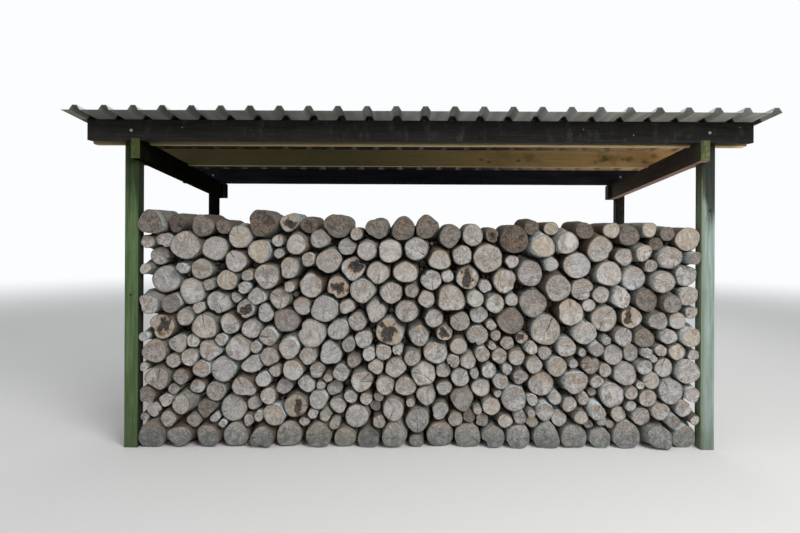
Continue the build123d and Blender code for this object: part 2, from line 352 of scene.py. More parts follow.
def stained_half(finish, edge, top, bottom, tint, strength):
    """Right of edge, a place along the beam in metres, the stain has come further down."""
    reach = finish.height + (finish.place * (1, 1, 0.08)).wander(0.5, 45, 3.0, 0.6)
    half = (finish.across + finish.place.wander(0.03, 14, 2.0)).step(edge - 0.010, edge + 0.010)
    finish.lay(reach.step(bottom, top) * half * strength, tint)


def ground_damp(finish, strength):
    reach = finish.height - finish.place.noise(18) * 0.3
    finish.lay(reach.step(0.14, -0.12) * strength, (0.06, 0.075, 0.04))


def moss(finish, strength, tint, scale=5.0, low=0.46, high=0.66):
    finish.lay(finish.place.noise(scale, 5.0, 0.62).step(low, high) * strength, tint)


def greener_side(finish, edge, width, tint, strength):
    """A post's damp side, left of edge in metres, is greener."""
    across = finish.across + (finish.place * (1, 1, 0.2)).wander(0.05, 9, 2.0)
    finish.lay(across.step(edge, edge - width) * strength, tint)


def shaded_inner_side(finish, tint, strength):
    """Painted shade: the side that looks right, towards the stack, is darker."""
    finish.lay(finish.facing(0).step(0.6, 0.85) * strength, tint)


# Downward faces take another colour: on the purlins a painted highlight, as if lit from the ground below; on
# the right rail a pinkish brown.
def underside(finish, tint, strength):
    finish.lay(finish.facing(2).step(-0.6, -0.95) * strength, tint)


def dust(finish, strength):
    """Pale smears and specks on black stain."""
    smears = (finish.place * (1, 1, 0.5)).noise(11, 5.0, 0.7)
    specks = finish.place.noise(95, 3.0, 0.7)
    finish.lay(smears.step(0.52, 0.72) * strength, (0.062, 0.062, 0.055))
    finish.lay(specks.step(0.66, 0.74) * strength, (0.12, 0.115, 0.095))


def rail_moss(finish, strength):
    """Moss that has spread from the rail's end a little way along its side."""
    along = finish.depth + finish.place.wander(0.16, 22, 4.0)
    finish.lay(along.step(-0.86, -0.96) * strength, (0.055, 0.062, 0.026))


def shadowed_top(finish, edge, tint, strength):
    """Painted shadow of the front beam: a purlin's face is dark from edge, a height in metres, upwards."""
    height = finish.height + finish.place.wander(0.006, 12, 2.0)
    finish.lay(height.step(edge - 0.004, edge + 0.004) * strength, tint)


def shaded_left(finish, tint, strength, left, right):
    """Painted shade: the pale timbers are greener and darker towards their left end, where less light falls.
    """
    finish.lay(finish.across.step(right, left) * strength, tint)


def from_spot(finish, x, z, stretch):
    """Distance from a spot on a front face, in an oval."""
    return ((finish.place - (x, 0.0, z)) * stretch).length()


def dark_knot(finish, x, z, size):
    """One knot hole on a post's front face, at a place in metres."""
    edge = from_spot(finish, x, z, (1.0, 0.0, 1.3)) + finish.place.wander(0.008, 90, 2.0)
    finish.lay(edge.step(size, size * 0.6) * 0.85, (0.022, 0.024, 0.022))


def knot_at(finish, x, z, width, tint, strength=0.8):
    """One knot or stain on a purlin's face, longer along the grain than across it."""
    ragged = finish.place.wander(width * 2.2, 1.6 / width, 4.0, 0.65)
    edge = from_spot(finish, x, z, (0.6, 0.0, 1.0)) + ragged
    finish.lay(edge.step(width, width * 0.1) * strength, tint)


# %% Mix the timber finishes
RIGHT_POST_FACE = 2.064        # left edges of the two front posts
LEFT_POST_FACE = -2.167

right_post_wood = timber_finish(
    "treated_post_grey", (0.182, 0.226, 0.198), (0.325, 0.40, 0.368),
    [(stain_runs, 2.02, 1.72, 0.92),
     (greener_side, RIGHT_POST_FACE + 0.035, 0.035, (0.13, 0.145, 0.065), 0.6),
     (moss, 0.22, (0.13, 0.18, 0.08)),
     (stained_half, RIGHT_POST_FACE + 0.036, 1.80, 1.58, (0.027, 0.031, 0.027), 0.93),
     (stain_runs, 2.10, 1.96, 0.9, (0.024, 0.028, 0.022)),
     (ground_damp, 0.4), (dark_knot, RIGHT_POST_FACE + 0.064, 1.756, 0.018)])
# The left post is darker and greener than the right one: partly algae, partly painted shade of the dark left
# end.
left_post_wood = timber_finish(
    "treated_post_green", (0.048, 0.080, 0.032), (0.112, 0.168, 0.078),
    [(moss, 0.45, (0.060, 0.100, 0.030)), (stain_runs, 2.08, 1.62, 0.85, (0.014, 0.024, 0.009)),
     (ground_damp, 0.5), (shaded_inner_side, (0.017, 0.021, 0.014), 0.85),
     (dark_knot, LEFT_POST_FACE + 0.045, 1.12, 0.014)])
black_wood = timber_finish(
    "black_stained_timber", (0.008, 0.0078, 0.0074), (0.0235, 0.0225, 0.0205), [(dust, 0.55)],
    checks=0.35, roughness=0.8)
# Painted shade: the left rail, left back post and left block are a much darker copy of the black stain, with
# no shine.
shaded_left_rail_wood = timber_finish(
    "black_stained_rail_left_shaded", (0.0028, 0.0030, 0.0021), (0.0085, 0.0088, 0.0064), [(dust, 0.06)],
    checks=0.3, roughness=1.0, shine=0.0)
back_wood = timber_finish(
    "black_stained_back", (0.013, 0.0138, 0.0205), (0.034, 0.036, 0.050), [(dust, 0.12)], checks=0.3)
right_rail_wood = timber_finish(
    "black_stained_rail_right", (0.019, 0.0145, 0.0105), (0.058, 0.044, 0.032),
    [(dust, 0.35), (rail_moss, 0.7), (underside, (0.40, 0.26, 0.20), 0.94)], checks=0.35, roughness=0.8)
black_end = timber_finish("black_stained_end", (0.02, 0.018, 0.015), (0.06, 0.05, 0.042))
right_rail_end = timber_finish(
    "mossy_rail_end_right", (0.055, 0.062, 0.028), (0.145, 0.160, 0.078),
    [(moss, 0.75, (0.165, 0.190, 0.080), 38, 0.46, 0.62), (moss, 0.7, (0.038, 0.038, 0.020), 22, 0.48, 0.66),
     (greener_side, 2.052, 0.014, (0.045, 0.050, 0.026), 0.55)])
left_rail_end = timber_finish(
    "mossy_rail_end_left", (0.035, 0.043, 0.017), (0.075, 0.092, 0.036),
    [(moss, 0.7, (0.075, 0.10, 0.030), 38, 0.44, 0.6), (moss, 0.6, (0.018, 0.021, 0.010), 22, 0.48, 0.66)])

# %% Mix the bare timber of the purlins
KNOT = (0.06, 0.035, 0.016)
GREEN_PATCH = (0.16, 0.17, 0.055)
DARK_PATCH = (0.085, 0.080, 0.034)
purlin_low, purlin_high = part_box("middle_purlin")
PURLIN_MID = (purlin_low[2] + purlin_high[2]) / 2
# each knot: place along the purlin, height over its middle, width, tint, strength
PURLIN_KNOTS = (
    (1.70, 0.005, 0.085, GREEN_PATCH, 0.45), (1.64, 0.0, 0.045, DARK_PATCH, 0.8),
    (1.85, 0.0, 0.035, GREEN_PATCH, 0.8), (1.985, -0.025, 0.024, GREEN_PATCH, 0.8),
    (2.07, 0.028, 0.028, KNOT, 0.6), (1.79, 0.0, 0.012, KNOT, 0.8),
    (0.98, -0.005, 0.06, GREEN_PATCH, 0.6), (0.55, -0.01, 0.022, KNOT, 0.8),
    (0.62, -0.03, 0.02, KNOT, 0.8), (0.88, -0.02, 0.018, KNOT, 0.8),
)
purlin_knots = [(knot_at, x, PURLIN_MID + rise, *look) for x, rise, *look in PURLIN_KNOTS]
# The middle purlin's much paler underside is a painted highlight, and its darker left end is painted shade.
middle_purlin_wood = timber_finish(
    "bare_middle_purlin", (0.55, 0.345, 0.13), (0.79, 0.54, 0.25),
    purlin_knots + [
        (moss, 0.4, (0.20, 0.16, 0.06), 3.0, 0.5, 0.66),
        (shaded_left, (0.125, 0.115, 0.054), 0.93, -0.9, 2.25),
        (underside, (0.90, 0.62, 0.33), 0.9)],
    knots=0.5)
FRONT_PURLIN_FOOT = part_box("front_purlin")[0][2]
# The front purlin carries painted light and shade: the front beam's shadow over its upper face, shade towards
# the left, and a paler underside.
front_purlin_wood = timber_finish(
    "bare_front_purlin", (0.60, 0.45, 0.225), (0.84, 0.66, 0.37),
    [(shadowed_top, FRONT_PURLIN_FOOT + 0.012, (0.075, 0.042, 0.02), 0.9),
     (shaded_left, (0.17, 0.13, 0.06), 0.85, -2.0, 2.0), (underside, (0.72, 0.56, 0.36), 0.5)], knots=0.4)
pale_end = timber_finish("bare_purlin_end", (0.52, 0.38, 0.21), (0.74, 0.58, 0.36))
print("timber finishes made")

# %% Dress every timber
PLUMB = (0, 0, 1)
ACROSS = (1, 0, 0)
ROOF_SLOPE = math.radians(5.0)
DOWN_SLOPE = (0, math.cos(ROOF_SLOPE), -math.sin(ROOF_SLOPE))

timbers = [
    ("post_front_left", PLUMB, left_post_wood, black_end, "front_posts"),
    ("post_front_right", PLUMB, right_post_wood, black_end, "front_posts"),
    ("post_back_left", PLUMB, shaded_left_rail_wood, black_end, "dark_timber"),
    ("post_back_right", PLUMB, black_wood, black_end, "dark_timber"),
    ("side_rail_left", DOWN_SLOPE, shaded_left_rail_wood, left_rail_end, "dark_timber"),
    ("side_rail_right", DOWN_SLOPE, right_rail_wood, right_rail_end, "dark_timber"),
    ("rail_block_left", DOWN_SLOPE, shaded_left_rail_wood, black_end, "dark_timber"),
    ("rail_block_right", DOWN_SLOPE, black_wood, black_end, "dark_timber"),
    ("front_beam", ACROSS, black_wood, black_end, "dark_timber"),
    ("back_beam", ACROSS, back_wood, black_end, "dark_timber"),
    ("front_purlin", ACROSS, front_purlin_wood, pale_end, "pale_timber"),
    ("middle_purlin", ACROSS, middle_purlin_wood, pale_end, "pale_timber"),
]
for seed, (node_name, direction, side_finish, end_finish, slot) in enumerate(timbers):
    worn_timber(node_name, direction, side_finish, end_finish, seed)

# %% [markdown]
# ## Roof sheets
#
# The solids already have the real profile of the sheets, with each lap over a rib, so they stay and
# only get a finish. Coated steel outdoors is dull grey with soft streaks that run down the slope. The upper
# side is painted paler where it faces the sky, a painted highlight. The underside gathers dust and algae,
# and carries painted shade that deepens towards the left end and where the sheets meet the front beam;
# behind the beam it is painted with warm light at the right end, as if thrown up from sunny ground.

# %% Grey coated steel
ROOF_SHEETS = [name for name in sorted(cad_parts) if name.startswith("roof_sheet")]
BEAM_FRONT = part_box("front_beam")[0][1]
BEAM_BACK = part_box("front_beam")[1][1]     # behind the front beam the underside is sheltered
PURLIN_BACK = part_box("middle_purlin")[1][1]


def steel_finish():
    finish = Finish("coated_roof_steel", roughness=0.5, shine=0.3)
    runs = (finish.place * (1, 0.05, 1)).noise(22, 4.0)
    cloudy = finish.place.noise(3.2)
    # Painted shade: both underside colours darken towards the left end, where less light falls; the runs
    # between them are streaks of dirt.
    across = finish.across.step(-2.3, 2.3)
    under = finish.mix(across, (0.20, 0.215, 0.19), (0.46, 0.455, 0.43))
    dirty_and_shaded = finish.mix(across, (0.13, 0.14, 0.12), (0.31, 0.30, 0.275))
    finish.coat(finish.mix(runs.step(0.35, 0.7), dirty_and_shaded, under))
    finish.lay(cloudy.step(0.46, 0.68) * 0.4, (0.15, 0.15, 0.125))
    # Behind the front beam the underside is painted light and shade: nearly black at the left, warm and
    # bright at the right as if lit from sunny ground, brighter still behind the middle purlin.
    sunny_side = finish.across.step(0.5, 2.15)
    inner = finish.mix(sunny_side, (0.032, 0.030, 0.023), (0.66, 0.475, 0.315))
    furthest = finish.depth.step(PURLIN_BACK, PURLIN_BACK + 0.03)
    inner = finish.mix(furthest * sunny_side * 0.8, inner, (0.92, 0.67, 0.40))
    # Painted shade: nearly black where the sheets meet the front beam, and over the beam itself.
    finish.lay(finish.depth.step(BEAM_FRONT - 0.012, BEAM_FRONT + 0.004) * 0.92, (0.018, 0.017, 0.015))
    finish.lay(finish.depth.step(BEAM_BACK + 0.01, BEAM_BACK + 0.03), inner)
    # Painted highlight: faces that look up are painted much paler, as if lit by the sky, with streaks and
    # patches of dirt.
    sky_lit_dirty_top = finish.mix(runs.step(0.3, 0.7), (0.42, 0.45, 0.46), (0.66, 0.71, 0.74))
    sky_lit_dirty_top = finish.mix(cloudy.step(0.5, 0.68) * 0.4, sky_lit_dirty_top, (0.26, 0.26, 0.20))
    finish.lay(finish.facing(2).step(0.02, 0.2), sky_lit_dirty_top)
    finish.lay(finish.place.noise(85).step(0.64, 0.72) * 0.35, (0.10, 0.08, 0.055))
    finish.feed(finish.shader.inputs["Roughness"], 0.42 + runs * 0.3)
    finish.bump(cloudy, 0.002, 0.35)
    return finish.material


roof_steel = steel_finish()
for name in ROOF_SHEETS:
    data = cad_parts[name].data
    data.materials.clear()
    data.materials.append(roof_steel)
print(len(ROOF_SHEETS), "roof sheets finished")

# %% [markdown]
# ## Fixings
#
# Domed bolt heads hold the beams to the posts, and short self-drilling screws with a rubber washer hold
# the sheets to the beams and purlins. Both are turned shapes, so one helper spins a short profile around
# an axis, and many of them are joined into one mesh.

# %% Spin small fixings and join them


def spun(profile, middle, axis, sides=20):
    """Points and faces of a profile of (radius, height) pairs turned around an axis."""
    side, up, along = grain_axes(axis)
    points = []
    for radius, height in profile:
        for count in range(sides):
            turn = 2 * math.pi * count / sides
            around = side * math.cos(turn) * radius + up * math.sin(turn) * radius
            points.append(Vector(middle) + around + along * height)
    faces = []
    for ring in range(len(profile) - 1):
        for count in range(sides):
            after = (count + 1) % sides
            base = ring * sides
            faces.append((base + count, base + after, base + sides + after, base + sides + count))
    top = (len(profile) - 1) * sides
    faces.append(tuple(top + count for count in range(sides)))
    faces.append(tuple(reversed(range(sides))))
    return points, faces


def joined_piece(name, shapes, material):
    """One object from many small (points, faces) shapes."""
    points = []
    faces = []
    for shape_points, shape_faces in shapes:
        base = len(points)
        points.extend(shape_points)
        faces.extend([tuple(base + corner for corner in face) for face in shape_faces])
    data = bpy.data.meshes.new(name)
    data.from_pydata(points, [], faces)
    data.validate()
    data.polygons.foreach_set("use_smooth", [True] * len(data.polygons))
    data.set_sharp_from_angle(angle=math.radians(40))
    data.materials.append(material)
    add_piece(name, data)


def zinc_finish():
    finish = Finish("dull_zinc", roughness=0.45, metallic=0.75)
    marks = finish.place.noise(240)
    finish.coat(finish.mix(marks.step(0.35, 0.7), (0.20, 0.205, 0.20), (0.46, 0.47, 0.465)))
    finish.bump(marks, 0.0004, 0.5)
    return finish.material


zinc = zinc_finish()
BOLT_PROFILE = [(0.0125, 0.0), (0.0122, 0.0022), (0.0105, 0.0048), (0.0072, 0.0068), (0.0025, 0.0078)]
NAIL_PROFILE = [(0.0036, -0.001), (0.0036, 0.0008), (0.0022, 0.0013)]
SCREW_PROFILE = [(0.0095, 0.0), (0.0095, 0.003), (0.0062, 0.0034), (0.0055, 0.0085), (0.0045, 0.0092)]
BOLT_IN = 0.025        # a bolt stands this much further in than the middle of its post
FRONT_BOLT_DROP = 0.077
BACK_BOLT_DROP = 0.066
LET_IN = 0.0006        # a head sits this deep, because the timber's face is worn
# nails in the front beam: place along it, how far down from its top
BEAM_NAILS = [(2.308, 0.038), (1.539, 0.097), (1.176, 0.056), (-1.723, 0.056)]
TO_FRONT = (0, -1, 0)

beam_low, beam_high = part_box("front_beam")
back_low, back_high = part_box("back_beam")
bolts = []
for row, beam_corner, top, drop in (
    ("front", beam_low[1], beam_high[2], FRONT_BOLT_DROP),
    ("back", back_low[1], back_high[2], BACK_BOLT_DROP),
):
    for side in ("left", "right"):
        low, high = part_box(f"post_{row}_{side}")
        middle = (low[0] + high[0]) / 2
        place = (middle - math.copysign(BOLT_IN, middle), beam_corner + LET_IN, top - drop)
        bolts.append(spun(BOLT_PROFILE, place, TO_FRONT))
nails = []
for x, drop in BEAM_NAILS:
    nails.append(spun(NAIL_PROFILE, (x, beam_low[1] + LET_IN, beam_high[2] - drop), TO_FRONT, 10))
joined_piece("bolt_heads", bolts, zinc)
joined_piece("nail_heads", nails, zinc)

# %% Screw the sheets down along each beam and purlin
RIB_PITCH = 0.2
FIRST_RIB = 0.093      # the first rib's middle, from the roof's left edge
ON_SHEET = 0.0013      # a screw's washer lies this far above the beam, on the sheet
UP_FROM_SLOPE = (0, math.sin(ROOF_SLOPE), math.cos(ROOF_SLOPE))
ROOF_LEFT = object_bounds()[0][0]
pan_middle = ROOF_LEFT + FIRST_RIB - RIB_PITCH / 2

screws = []
for support in ("front_beam", "front_purlin", "middle_purlin", "back_beam"):
    low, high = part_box(support)
    line_y = (low[1] + high[1]) / 2
    drop = (line_y - beam_low[1]) * math.tan(ROOF_SLOPE)
    for pan in range(1, 25, 2):
        place = (pan_middle + pan * RIB_PITCH, line_y, beam_high[2] - drop + ON_SHEET)
        screws.append(spun(SCREW_PROFILE, place, UP_FROM_SLOPE, 12))
joined_piece("roof_screws", screws, zinc)

# %% [markdown]
# ## Finishes for the logs
#
# A sawn log end that has stood for years is grey, blotched and faintly lined by the saw. The end is painted
# in the log's own round coordinates, stored on the mesh. Distance from the heart decides rings, rot and the
# dark line under the bark; direction decides rays and drying cracks; height decides where rain has left a
# rusty stain at the top and a pale bloom below. Every log also carries a few numbers of its own, so that no
# two look alike.

# %% The sawn end
VALUE_NAMES = (
    "log_seed", "log_tone", "log_hue", "log_age", "log_rot", "log_stain", "log_yellow", "log_ray",
    "log_crack", "log_patch", "log_rim",
)
SHADE_FROM = -0.88      # bark deep inside the front stack is painted dark as shade, from here
SHADE_TO = -0.46        # to here, in metres along the depth
STICKS_FROM = -0.84    # only ends of the sticks in the gaps lie between these two depths, in the dark
STICKS_TO = -0.55


def log_end_finish():
    finish = Finish("sawn_log_end", roughness=0.9, shine=0.1)
    seed, tone, hue, age, rot, stain, yellow, ray_share, crack_share, patch, rim = map(
        finish.attribute, VALUE_NAMES)
    round_place = finish.attribute("round_place", 1)
    from_heart = round_place.length()
    offset = seed * (73, 31, 59)
    flat_place = round_place + offset
    second_place = flat_place + (3.7, 9.1, 5.3)

    def turned(place, angle):
        """Coordinates turned about the log's axis."""
        entries = {"Vector": place, "Axis": (0, 1, 0), "Angle": angle}
        return finish.node("ShaderNodeVectorRotate", {"rotation_type": "AXIS_ANGLE"}, entries)

    def crack(angle):
        """A straight drying crack from near the heart out to the bark, widest at the bark."""
        place = turned(round_place, angle)
        out = place.part(0)
        aside = abs(place.part(2) + flat_place.wander(0.16, 5.0, 2.0)) / (out + 0.06)
        return aside.step(0.055, 0.015) * out.step(0.04, 0.1)

    direction = finish.math("NORMALIZE", round_place)
    rays = (direction + offset + from_heart * (0, 0.15, 0)).noise(9, 3.0, 0.6)
    blotch = flat_place.noise(2.3, 5.0, 0.66)
    grime = second_place.noise(1.7, 5.0, 0.68)
    mottle = (finish.place + offset).noise(92, 3.0, 0.75)
    saw = ((turned(finish.place, seed * 91) + offset) * (1, 1, 0.14)).noise(88, 3.0, 0.65)
    up_face = round_place.part(2)
    rings = finish.math("SINE", (from_heart + flat_place.noise(2.4, 2.0) * 0.14) * (35 + tone * 20))

    darker = finish.mix(hue, (0.200, 0.166, 0.138), (0.168, 0.167, 0.182))
    lighter = finish.mix(hue, (0.425, 0.365, 0.308), (0.400, 0.394, 0.405))
    finish.coat(finish.mix(tone, darker, lighter))
    two_tone = (flat_place * (1, 1, 0.55)).noise(1.5).step(0.47, 0.55)
    other_tone = finish.mix(tone.step(0.45, 0.55), (0.54, 0.51, 0.475), (0.255, 0.180, 0.122))
    finish.lay(two_tone * patch, other_tone)
    lower_half = (up_face + (grime - 0.5) * 1.2).step(0.3, -0.5)
    finish.lay(blotch.step(0.44, 0.60) * (0.22 + lower_half * 0.5), (0.53, 0.522, 0.51))
    finish.lay(grime.step(0.5, 0.7) * 0.55, (0.115, 0.094, 0.076))
    finish.lay(rings.step(0.2, 0.95) * 0.12, (0.12, 0.10, 0.08))
    finish.lay(yellow, finish.mix(blotch, (0.29, 0.215, 0.12), (0.47, 0.38, 0.25)))
    rusty = (up_face * 0.9 + (blotch - 0.5) * 2.2).step(0.2, 0.65) * stain
    finish.lay(rusty * 0.8, finish.mix(mottle, (0.22, 0.130, 0.066), (0.48, 0.315, 0.175)))
    finish.lay(rays.step(0.48, 0.66) * ray_share * 0.7, (0.12, 0.098, 0.08))
    finish.lay(rays.step(0.46, 0.34) * ray_share * 0.5, (0.50, 0.455, 0.40))
    scratched = second_place.noise(1.3, 2.0).step(0.42, 0.56)
    finish.lay(saw.step(0.5, 0.64) * (0.08 + scratched * 0.34), (0.64, 0.62, 0.60))
    finish.lay(saw.step(0.5, 0.36) * (0.06 + scratched * 0.20), (0.135, 0.114, 0.098))
    finish.lay(mottle.step(0.5, 0.35) * 0.30, (0.115, 0.098, 0.084))
    finish.lay(mottle.step(0.5, 0.66) * 0.34, (0.67, 0.645, 0.62))
    pale_rim = finish.math("FRACT", seed * 13.7).step(0.55, 0.65) * rim.step(0.72, 0.96)
    finish.lay(pale_rim * 0.4, (0.40, 0.355, 0.25))
    finish.lay(0.24, finish.node("ShaderNodeRGBToBW", None, {"Color": finish.base}))

    first_crack = crack(seed * 41) * crack_share.step(0.2, 0.4)
    second_crack = crack(seed * 97) * crack_share.step(0.6, 0.8)
    cracks = finish.math("MAXIMUM", first_crack, second_crack)
    finish.lay(cracks * 0.8, (0.04, 0.032, 0.026))

    off_heart = ((turned(round_place, seed * 53) - (0.18, 0.0, 0.0)) * (0.8, 0.0, 1.15)).length()
    rot_edge = (flat_place * (1, 1, 0.7)).wander(1.9, 2.2, 3.0, 0.55)
    rot_reach = off_heart + rot_edge + (mottle - 0.5) * 0.16 + (1 - rot) * 0.25
    is_rotten = rot.step(0.1, 0.4)
    rotten = rot_reach.step(0.58, 0.47) * is_rotten
    finish.lay(rot_reach.step(0.96, 0.80) * is_rotten * 0.65, (0.38, 0.305, 0.225))
    finish.lay(rot_reach.step(0.74, 0.60) * is_rotten * 0.8, (0.205, 0.132, 0.078))
    finish.lay(rotten, finish.mix(mottle.step(0.36, 0.70), (0.024, 0.022, 0.021), (0.115, 0.104, 0.098)))

    old = finish.mix(mottle.step(0.34, 0.66), (0.040, 0.031, 0.025), (0.185, 0.148, 0.120))
    old = finish.mix(blotch.step(0.53, 0.66) * 0.6, old, (0.20, 0.125, 0.065))
    old = finish.mix(grime.step(0.52, 0.62) * 0.7, old, (0.03, 0.025, 0.022))
    old = finish.mix(grime.step(0.40, 0.32) * 0.35, old, (0.12, 0.13, 0.06))
    finish.lay(age, old)
    finish.lay(rim.step(0.95, 0.99) * 0.55, (0.06, 0.048, 0.038))
    splash = (finish.height + (mottle - 0.5) * 0.3).step(0.24, 0.03)
    dusty = finish.mix(mottle, (0.038, 0.042, 0.042), (0.175, 0.190, 0.192))
    dusty = finish.mix(blotch.step(0.5, 0.6) * 0.6, dusty, (0.225, 0.235, 0.225))
    dusty = finish.mix(grime.step(0.5, 0.62) * 0.6, dusty, (0.060, 0.072, 0.048))
    finish.lay(splash * (0.6 + tone * 0.3), dusty)
    # Painted shade: ends of the sticks set back in the gaps are painted nearly black.
    sunk_in_shade = finish.depth.step(STICKS_FROM, STICKS_FROM + 0.05)
    sunk_in_shade = sunk_in_shade * finish.depth.step(STICKS_TO, STICKS_TO - 0.05)
    finish.lay(sunk_in_shade * 0.78, (0.018, 0.016, 0.014))
    finish.bump(rays * ray_share * 0.5 + saw * 0.6 + mottle * 0.7 - cracks * 1.8 - rotten * 1.2, 0.003, 0.9)
    return finish.material


# %% The bark
OPEN_SIDES = (2.0, 1.93)      # daylight reaches the bark beyond these distances from the middle
OPEN_TOP = (1.64, 1.52)       # and above these heights


def bark_finish():
    finish = Finish("log_bark", roughness=0.92, shine=0.1)
    seed = finish.attribute("log_seed")
    own_place = finish.place + seed * (17, 5, 11)
    lichen = own_place.noise(15, 5.0, 0.65)
    plates = (own_place * (1.0, 0.35, 1.0)).noise(55, 4.0, 0.6)
    bands = (own_place * (0.35, 1.6, 0.35)).noise(40)
    finish.coat(finish.mix(finish.math("FRACT", seed * 7.77), (0.17, 0.158, 0.125), (0.37, 0.375, 0.34)))
    pale_bark = finish.math("FRACT", seed * 3.31).step(0.45, 0.6)
    # Painted highlight: pale bark is painted paler still near the front end, where daylight catches it.
    lit_near_end = finish.depth.step(SHADE_FROM + 0.06, SHADE_FROM - 0.02)
    finish.lay(lichen.step(0.40, 0.60) * (0.3 + pale_bark * 0.3), (0.54, 0.58, 0.585))
    finish.lay(lit_near_end * pale_bark * 0.8, (0.76, 0.815, 0.825))
    brown = finish.math("FRACT", seed * 5.13).step(0.7, 0.78)
    finish.lay(brown * 0.8, (0.13, 0.088, 0.058))
    finish.lay(plates.step(0.52, 0.66) * 0.65, (0.085, 0.072, 0.057))
    finish.lay(bands.step(0.6, 0.72) * 0.35, (0.10, 0.092, 0.07))
    finish.lay(finish.attribute("log_age") * 0.62, (0.12, 0.098, 0.075))
    # Painted shade: bark deep in the stack, away from the open sides and top, is painted nearly black.
    inwards = finish.depth.step(SHADE_FROM, SHADE_FROM + 0.19) * finish.depth.step(SHADE_TO, SHADE_TO - 0.1)
    out_of_daylight = abs(finish.across).step(*OPEN_SIDES) * finish.height.step(*OPEN_TOP)
    finish.lay(inwards * out_of_daylight * 0.78, (0.042, 0.038, 0.033))
    sawn = finish.facing(1, output=3).step(-0.45, -0.7)
    finish.lay(sawn * 0.75, (0.125, 0.103, 0.082))
    finish.bump(plates + lichen * 0.5 + bands * 0.4, 0.004, 0.9)
    return finish.material


log_end = log_end_finish()
log_bark = bark_finish()
print("log finishes made")

# %% [markdown]
# ## The logs
#
# The solid stack already says where every log lies and how far it runs: each is a many-sided
# prism that lies flat against its neighbours. Reading those prisms back gives the room each log has. Inside
# that room a rounder log is drawn. A prism is convex, so a log that shrinks towards a point on its own
# underside stays inside it: that is how the front ends get thinner while the logs still rest on each other.
# Only the hidden waists swell a few millimetres past their rooms, so that no slits of light show.

# %% Read each log's room from the solids
AROUND = 60            # points around a front log
REAR_AROUND = 24
CORNER_SMOOTHING = 0.20  # radians over which the prism's corners are rounded off
FORM_SMOOTHING = 0.62    # radians over which a rounder form is averaged
FULL_TURN = 2 * math.pi


def log_rooms(node_name):
    """For each prism of a node: its outline around its middle, its middle, and its two ends."""
    mesh = rest_mesh(node_name)
    waiting = set(mesh.verts)
    rooms = []
    while waiting:
        first = waiting.pop()
        island = [first]
        queue = [first]
        while queue:
            for edge in queue.pop().link_edges:
                for point in edge.verts:
                    if point in waiting:
                        waiting.discard(point)
                        island.append(point)
                        queue.append(point)
        near = min(point.co.y for point in island)
        far = max(point.co.y for point in island)
        corners = np.array([(point.co.x, point.co.z) for point in island if point.co.y < near + 0.001])
        middle = corners.mean(axis=0)
        turn = np.arctan2(corners[:, 1] - middle[1], corners[:, 0] - middle[0])
        rooms.append((corners[np.argsort(turn)] - middle, middle, near, far))
    mesh.free()
    rooms.sort(key=lambda room: (round(room[1][1], 4), round(room[1][0], 4)))
    return rooms


def all_round(count):
    """Angles of count points around a log."""
    return np.linspace(0, FULL_TURN, count, endpoint=False)


def prism_sides(corners):
    """Which way each side of a prism looks, and how far it lies from the middle."""
    run = np.roll(corners, -1, axis=0) - corners
    normals = np.stack([run[:, 1], -run[:, 0]], axis=1)
    normals /= np.linalg.norm(normals, axis=1, keepdims=True)
    return normals, (normals * corners).sum(axis=1)


def reach_around(corners, count):
    """How far the prism reaches from its middle, in each of count directions."""
    turn = all_round(count)
    normals, distance = prism_sides(corners)
    facing = np.stack([np.cos(turn), np.sin(turn)], axis=1) @ normals.T
    return np.where(facing > 1e-6, distance / np.maximum(facing, 1e-6), 9.0).min(axis=1)


def smoothed(values, spread, count):
    """A round list blurred by a bell curve, given in radians."""
    turn = all_round(count)
    weight = np.exp(-0.5 * (np.minimum(turn, FULL_TURN - turn) / spread) ** 2)
    weight /= weight.sum()
    return np.real(np.fft.ifft(np.fft.fft(values) * np.fft.fft(weight)))


# %% Draw a log's outline inside its room
ROOM_SHARE = 0.996     # a log stays this little inside its prism
WAVES = ((1, 0.035), (2, 0.05), (3, 0.04), (4, 0.02), (5, 0.014), (9, 0.007))   # bites around, deepest share
GROW_MOST = 1.1        # an outline grows until it touches its room, but by no more than this
EDGE_SMOOTHING = 0.05  # radians over which bites and notches are worn
WAIST_BULGE = 0.007    # how far a waist swells past its room, which closes the narrow gaps beside it


def log_outline(corners, rng, count, shape):
    """A rounder outline that never leaves the prism, and one for the hidden waist, which swells past it."""
    room = reach_around(corners, count) * ROOM_SHARE
    turn = all_round(count)
    roundness = rng.uniform(0.6, 0.95) if shape["on_top"] else rng.uniform(0.05, 0.85)
    outline = smoothed(room, CORNER_SMOOTHING, count) * (1 - roundness)
    outline += smoothed(room, FORM_SMOOTHING, count) * roundness
    for wave, most in WAVES:
        bite = rng.uniform(0, most) * shape["uneven"]
        outline *= 1 - bite * (1 + np.sin(wave * turn + rng.uniform(0, 6.3)))
    if shape["notch"]:
        away = np.abs((turn - shape["notch_turn"] + math.pi) % FULL_TURN - math.pi)
        outline *= 1 - shape["notch"] * np.exp(-((away / shape["notch_width"]) ** 2))
    outline *= min(GROW_MOST, float((room / outline).min()))
    outline = np.minimum(smoothed(outline, EDGE_SMOOTHING, count), room)
    # a log on top is filled only below, where it lies on others
    filled = np.clip((0.3 - np.sin(turn)) / 0.5, 0, 1) if shape["on_top"] else 1.0
    return outline, outline + (room + WAIST_BULGE - outline) * filled


# %% [markdown]
# ## Rings of points
#
# A log is drawn as rings: some across the sawn face, from the heart out to the bark, and some along the
# side. Neighbouring rings are joined by quads. Many logs share one mesh, which keeps the file light, and
# each ring writes down its log's own numbers for the finishes above.

